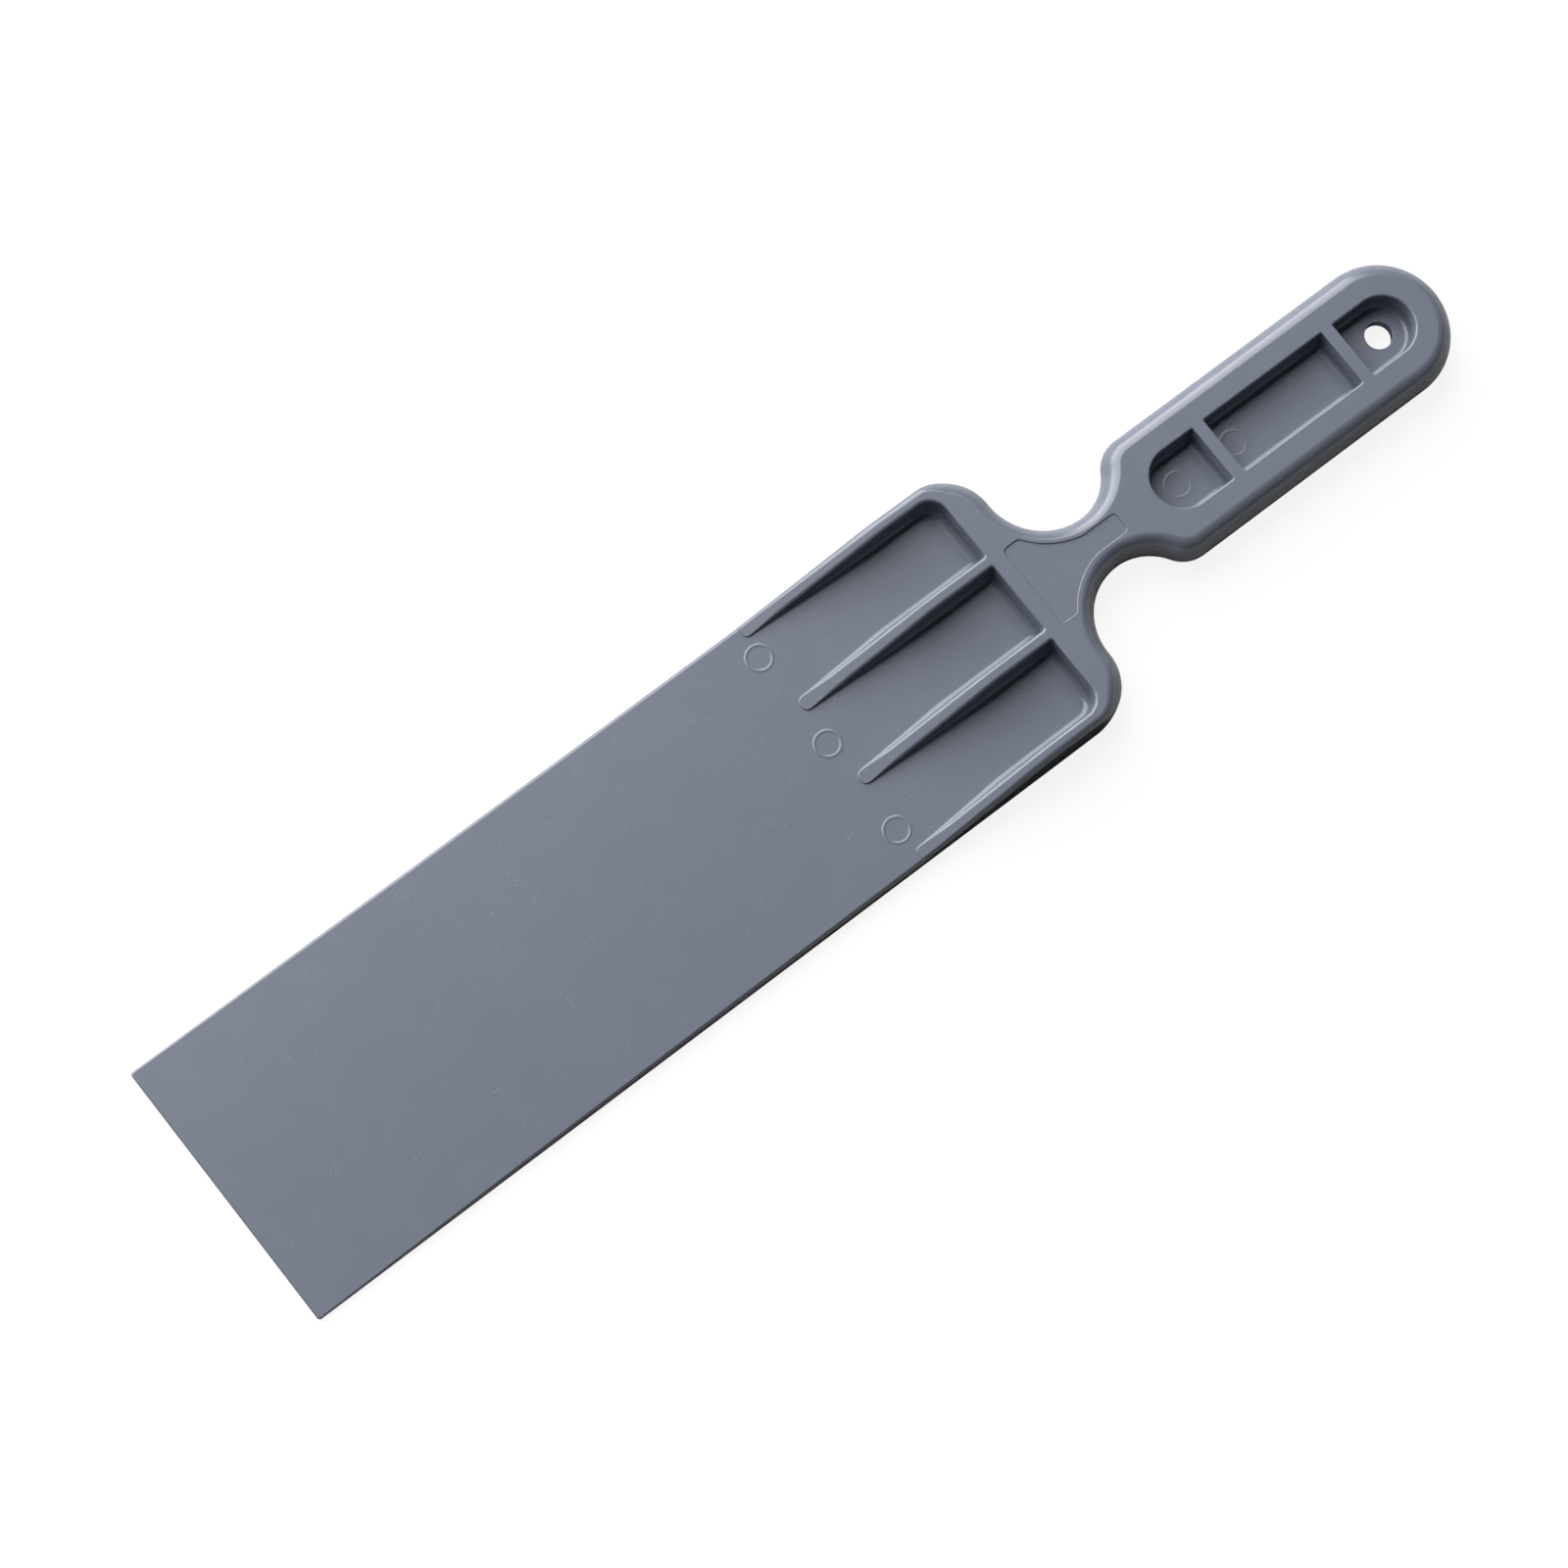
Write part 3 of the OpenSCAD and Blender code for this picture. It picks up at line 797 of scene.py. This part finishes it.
pairs = np.arange((ribTo - ribFrom) // 2 + 1)
ribSection = inner["points"][ribFrom], inner["points"][ribTo]
ribPatches = [
    gridPatch(cutStrip(inner, ribFrom, ribTo)),
    rampPatch(innerTop[ribFrom + pairs], innerTop[ribTo - pairs]),
    flatPatch(innerFloor[ribFrom:ribTo + 1], -up),
    ruledPatch(*ribSection, (1, 0, 0)),
]
makePiece("leftRibTongue", "left_rib", ribPatches)
makePiece("rightRibTongue", "right_rib", [mirrored(patch) for patch in ribPatches])


# Bar: the cross wall between the blade and the neck

def acrossSection(sign):
    # the plane between bar and neck, with the panel's recess in its upper edge
    line = np.concatenate([[outerLow[notchAt], outerTop[notchAt]], fan["points"][fanSeam]])
    ends = np.concatenate([outer["points"][notchAt], [outerTop[notchAt]]])
    return ([flatPatch(np.concatenate([line, acrossY(line)]), (sign, 0, 0))]
            + bothSides(flatPatch(ends, (0, -sign, 0))))


barPick = np.r_[len(openWay) - 1:ribTo - 1:-1, ribFrom:rimEnd - 1:-1]
barTopHalf = np.concatenate([innerTop[barPick], outerTop[barAt:notchAt + 1], fanTop[:fanSeam + 1][::-1]])
barUnder = dropTo(np.array([innerTop[rimEnd], outerTop[barAt]]))
barLowHalf = np.concatenate([dropTo(innerFloor[barPick]), barUnder, outerLow[barAt:notchAt + 1]])
barFloor = fanFloor[:fanSeam + 1]
makePiece("shoulderWall", "shoulder_bar", [
    flatPatch(np.concatenate([barTopHalf, acrossY(barTopHalf)]), up),
    flatPatch(np.concatenate([barLowHalf, acrossY(barLowHalf)]), -up),
    flatPatch(np.concatenate([barFloor, acrossY(barFloor)]), up),
] + acrossSection(1) + bothSides(
    gridPatch(cutStrip(outer, barAt, notchAt)),
    gridPatch(cutStrip(inner, rimEnd, ribFrom)),
    gridPatch(cutStrip(inner, ribTo, len(openWay) - 1)),
    gridPatch(cutStrip(fan, 0, fanSeam)),
    ruledPatch(innerFloor[barPick], dropTo(innerFloor[barPick]), openWay[barPick]),
    ruledPatch(*ribSection, (-1, 0, 0)),
    *barSeam(-1),
))


# Neck: waisted between four notches, with the rest of the panel

def noseSection(sign):
    upper, lower = outerTop[[touchAt]], outerLow[[touchAt]]
    line = np.concatenate([lower, upper])
    return ([flatPatch(np.concatenate([line, acrossY(line)]), (sign, 0, 0))]
            + bothSides(flatPatch(outer["points"][touchAt], (0.8 * sign, 0.6 * sign, 0))))


neckTopHalf = np.concatenate([fanTop[fanSeam:][::-1], outerTop[notchAt:touchAt + 1]])
neckLowHalf = outerLow[notchAt:touchAt + 1]
neckFloor = fanFloor[fanSeam:]
makePiece("waistedNeck", "neck", [
    flatPatch(np.concatenate([neckTopHalf, acrossY(neckTopHalf)]), up),
    flatPatch(np.concatenate([neckLowHalf, acrossY(neckLowHalf)]), -up),
    flatPatch(np.concatenate([neckFloor, acrossY(neckFloor)]), up),
] + acrossSection(-1) + noseSection(1) + bothSides(
    gridPatch(cutStrip(outer, notchAt, touchAt)),
    gridPatch(cutStrip(fan, fanSeam, len(fanTop) - 1)),
))


# Grip: nose, two rails and end round the pockets

def gripSection(outerAt, wallAt, recessAt, sign):
    # one side's wall, cut across
    section = np.concatenate([outer["points"][outerAt], wallAt, recess["points"][recessAt][::-1]])
    return flatPatch(section, (sign, 0, 0))


def hiddenWall(start, end, sign):
    # from the pocket's foot to the recess's foot, where the web meets the wall
    return ruledPatch(pocketFoot[start:end + 1], backFoot[start:end + 1], sign * footNormal[start:end + 1])


noseTopHalf = np.concatenate([pocketTop[:railFrom + 1], outerTop[touchAt:frontAt + 1][::-1]])
noseLowHalf = np.concatenate([backEdge[:railFrom + 1], outerLow[touchAt:frontAt + 1][::-1]])
makePiece("gripNose", "grip_nose_block", [
    flatPatch(np.concatenate([noseTopHalf, acrossY(noseTopHalf)]), up),
    flatPatch(np.concatenate([noseLowHalf, acrossY(noseLowHalf)]), -up),
] + noseSection(-1) + bothSides(
    gridPatch(cutStrip(outer, touchAt, frontAt)),
    gridPatch(cutStrip(frontWall, *frontParts["nose"])),
    gridPatch(cutStrip(recess, 0, railFrom)),
    hiddenWall(0, railFrom, 1),
    gripSection(frontAt, frontWall["points"][20], railFrom, 1),
))

crossSections = [(frontWall["points"][21], middleWall["points"][7]),
                 (middleWall["points"][8], rearWall["points"][7])]
railPatches = [
    gridPatch(cutStrip(outer, frontAt, rearAt)),
    gridPatch(cutStrip(frontWall, *frontParts["rail"])),
    gridPatch(cutStrip(middleWall, *middleParts["rail"])),
    gridPatch(cutStrip(rearWall, *rearParts["rail"])),
    gridPatch(cutStrip(recess, railFrom, railTo)),
    flatPatch(np.concatenate([outerTop[frontAt:rearAt + 1], pocketTop[railFrom:railTo + 1][::-1]]), up),
    flatPatch(np.concatenate([outerLow[frontAt:rearAt + 1], backEdge[railFrom:railTo + 1][::-1]]), -up),
    hiddenWall(railFrom, railTo, 1),
    gripSection(frontAt, frontWall["points"][20], railFrom, -1),
    gripSection(rearAt, rearWall["points"][8], railTo, 1),
] + [ruledPatch(first, second, (0, -1, 0)) for first, second in crossSections]
makePiece("leftRail", "left_grip_rail", railPatches)
makePiece("rightRail", "right_grip_rail", [mirrored(patch) for patch in railPatches])

endTopHalf = np.concatenate([pocketTop[railTo:][::-1], outerTop[rearAt:endAt + 1]])
endLowHalf = np.concatenate([backEdge[railTo:][::-1], outerLow[rearAt:endAt + 1]])
makePiece("gripEndRound", "grip_end", [
    flatPatch(np.concatenate([endTopHalf, acrossY(endTopHalf)]), up),
    flatPatch(np.concatenate([endLowHalf, acrossY(endLowHalf)]), -up),
] + bothSides(
    gridPatch(cutStrip(outer, rearAt, endAt)),
    gridPatch(cutStrip(rearWall, *rearParts["end"])),
    gridPatch(cutStrip(recess, railTo, len(backFoot) - 1)),
    hiddenWall(railTo, len(backFoot) - 1, 1),
    gripSection(rearAt, rearWall["points"][8], railTo, -1),
))

# web with the hang hole
webThick = cells["floor"] - cells["backDepth"]
holePath = arcRun((pocketRear, 0), cells["hangHole"], 0, 360, 61, outward=False)
small = np.full(61, 0.2)
hole = outerStrip(holePath, np.full(61, webThick), small, small, small, small, steps=5)
hole["points"][..., 2] += cells["backDepth"]
hole["normals"][[0, -1]] = unit(hole["normals"][[0]] + hole["normals"][[-1]])
webBeads, webHoles = pinMarks(cells["pinMarks"], lambda x: 0 * x + cells["floor"], up, 0.03)
holeEdge = cells["hangHole"] + 0.2
makePiece("gripWeb", "grip_web", webBeads + [
    gridPatch(hole),
    flatPatch(np.concatenate([pocketFoot, acrossY(pocketFoot)]), up,
              webHoles + [(pocketRear, 0, holeEdge, hole["points"][:-1, -1])]),
    flatPatch(np.concatenate([backFoot, acrossY(backFoot)]), -up,
              [(pocketRear, 0, holeEdge, hole["points"][:-1, 0])]),
] + bothSides(hiddenWall(0, len(backFoot) - 1, -1)))

# cross ribs
for name, node, before, after in (
        ("frontCrossRib", "front_cross_rib", cutStrip(frontWall, *frontParts["rib"]),
         cutStrip(middleWall, *middleParts["ribBefore"])),
        ("rearCrossRib", "rear_cross_rib", cutStrip(middleWall, *middleParts["ribAfter"]),
         cutStrip(rearWall, *rearParts["rib"]))):
    topHalf = np.concatenate([before["points"][::-1, 0], after["points"][::-1, 0]])
    lowHalf = np.concatenate([before["points"][::-1, -1], after["points"][::-1, -1]])
    makePiece(name, node, [
        flatPatch(np.concatenate([topHalf, acrossY(topHalf)]), up),
        flatPatch(np.concatenate([lowHalf, acrossY(lowHalf)]), -up),
    ] + bothSides(
        gridPatch(before), gridPatch(after),
        ruledPatch(before["points"][0], after["points"][-1], (0, 1, 0)),
    ))


# Floor and low round backdrop: pale to camera, glossy and transmission rays, with a faint shadow,
# and dull to the rays that would light the object from below. What the plastic mirrors of the floor
# beside it is lit by the lamp alone, so that its own shadow lies there in full

stage = {
    "glow": 0.88,              # the share of white that the floor gives by itself
    "litColour": 0.15,         # and the share that the lamp gives, where the shadow shows
    "mirroredColour": 0.72,    # the floor beside the object, as the plastic mirrors it
    "mirroredNear": 0.25,      # metres from the middle, and where the glow has taken over
    "mirroredFar": 0.80,
    "otherRays": 0.04,
    "flatRadius": 3.0,
    "wallRound": 0.35,
    "wallHeight": 0.4,
    # soft boxes: watts, distance, width, height, elevation, and azimuth from the grip's direction
    # towards the left side
    "mainBox": (98.0, 2.0, 2.6, 2.75, 39.5, 93.0),
    "lowBox": (9.0, 1.7, 2.4, 0.8, 13.0, 96.0),
    "ambient": 0.025,
    "ambientColour": (0.93, 0.96, 1.0),
}


def floorMaterial():
    material, nodes, links, maths, spread = shaderKit("paleFloor")
    nodes.clear()
    rays = nodes.new("ShaderNodeLightPath")
    mirrored = maths("MAXIMUM", rays.outputs["Is Glossy Ray"], rays.outputs["Is Transmission Ray"])
    shown = maths("MAXIMUM", rays.outputs["Is Camera Ray"], mirrored)
    place = nodes.new("ShaderNodeTexCoord")
    reach = nodes.new("ShaderNodeVectorMath")
    reach.operation = "LENGTH"
    links.new(place.outputs["Object"], reach.inputs[0])
    beside = maths("MULTIPLY", mirrored,
                   spread(reach.outputs["Value"], stage["mirroredNear"], stage["mirroredFar"], 1.0, 0.0))
    out = nodes.new("ShaderNodeOutputMaterial")
    glow = nodes.new("ShaderNodeEmission")
    links.new(spread(beside, 0.0, 1.0, stage["glow"], 0.0), glow.inputs["Strength"])
    pale = nodes.new("ShaderNodeBsdfDiffuse")
    links.new(spread(beside, 0.0, 1.0, stage["litColour"], stage["mirroredColour"]), pale.inputs["Color"])
    dull = nodes.new("ShaderNodeBsdfDiffuse")
    dull.inputs["Color"].default_value = (stage["otherRays"],) * 3 + (1.0,)
    both = nodes.new("ShaderNodeAddShader")
    links.new(glow.outputs[0], both.inputs[0])
    links.new(pale.outputs[0], both.inputs[1])
    choose = nodes.new("ShaderNodeMixShader")
    links.new(shown, choose.inputs[0])
    links.new(dull.outputs[0], choose.inputs[1])
    links.new(both.outputs[0], choose.inputs[2])
    links.new(choose.outputs[0], out.inputs["Surface"])
    return material


def roundFloor():
    # flat disc, quarter round and upright wall, carried round the middle, a hair under the object
    bend = np.radians(np.linspace(0, 90, 9))
    flat, turn, high = stage["flatRadius"], stage["wallRound"], stage["wallHeight"]
    radius = np.concatenate([[0.02, flat * 0.5], flat + turn * np.sin(bend), [flat + turn]])
    height = np.concatenate([[0, 0], turn * (1 - np.cos(bend)), [high]]) - 0.0002
    angle = np.linspace(0, 2 * math.pi, 97)[:-1, None]
    points = np.stack([radius * np.cos(angle), radius * np.sin(angle), height + 0 * angle], axis=-1)
    rings = len(radius)
    index = np.arange(points.shape[0] * rings).reshape(-1, rings)
    after = np.roll(index, -1, axis=0)
    faces = np.stack([index[:, :-1], index[:, 1:], after[:, 1:], after[:, :-1]], axis=-1).reshape(-1, 4)
    mesh = bpy.data.meshes.new("floor")
    mesh.from_pydata(points.reshape(-1, 3).tolist(), [], faces.tolist() + [index[:, 0].tolist()])
    mesh.shade_smooth()
    mesh.materials.append(floorMaterial())
    return mesh


floor = bpy.data.objects.new("floor", roundFloor())
bpy.context.scene.collection.objects.link(floor)

world = bpy.data.worlds.new("studio")
world.use_nodes = True
sky = world.node_tree.nodes["Background"]
sky.inputs["Color"].default_value = stage["ambientColour"] + (1.0,)
sky.inputs["Strength"].default_value = stage["ambient"]
bpy.context.scene.world = world

# Soft boxes on the left side: a high one and a low strip that catches the rounds
for name in ("mainBox", "lowBox"):
    power, distance, width, height, elevation, azimuth = stage[name]
    lamp = bpy.data.lights.new(name, "AREA")
    lamp.shape = "RECTANGLE"
    lamp.size, lamp.size_y = width, height
    lamp.energy = power
    box = bpy.data.objects.new(name, lamp)
    bpy.context.scene.collection.objects.link(box)
    raised, around = math.radians(elevation), math.radians(azimuth)
    box.location = distance * Vector((
        math.cos(raised) * math.cos(around), math.cos(raised) * math.sin(around), math.sin(raised)))
    box.rotation_euler = box.location.to_track_quat("Z", "Y").to_euler()

# Camera, high over the blade's right side as in the photo
view = {
    "lens": 122.32,
    "sensorWidth": 36.0,
    "place": (
        (0.7825181, 0.58134755, -0.22293598, -0.26200),
        (-0.61676183, 0.77278757, -0.14968036, -0.16512),
        (0.08526585, 0.25462599, 0.96327324, 1.05989),
        (0, 0, 0, 1)),
}
cameraData = bpy.data.cameras.new("camera")
cameraData.lens = view["lens"]
cameraData.sensor_width = view["sensorWidth"]
cameraData.clip_end = 20.0       # past the backdrop
camera = bpy.data.objects.new("camera", cameraData)
bpy.context.scene.collection.objects.link(camera)
camera.matrix_world = Matrix(view["place"])
bpy.context.scene.camera = camera
bpy.context.scene.view_settings.view_transform = "Standard"
print("stage, light and camera set")
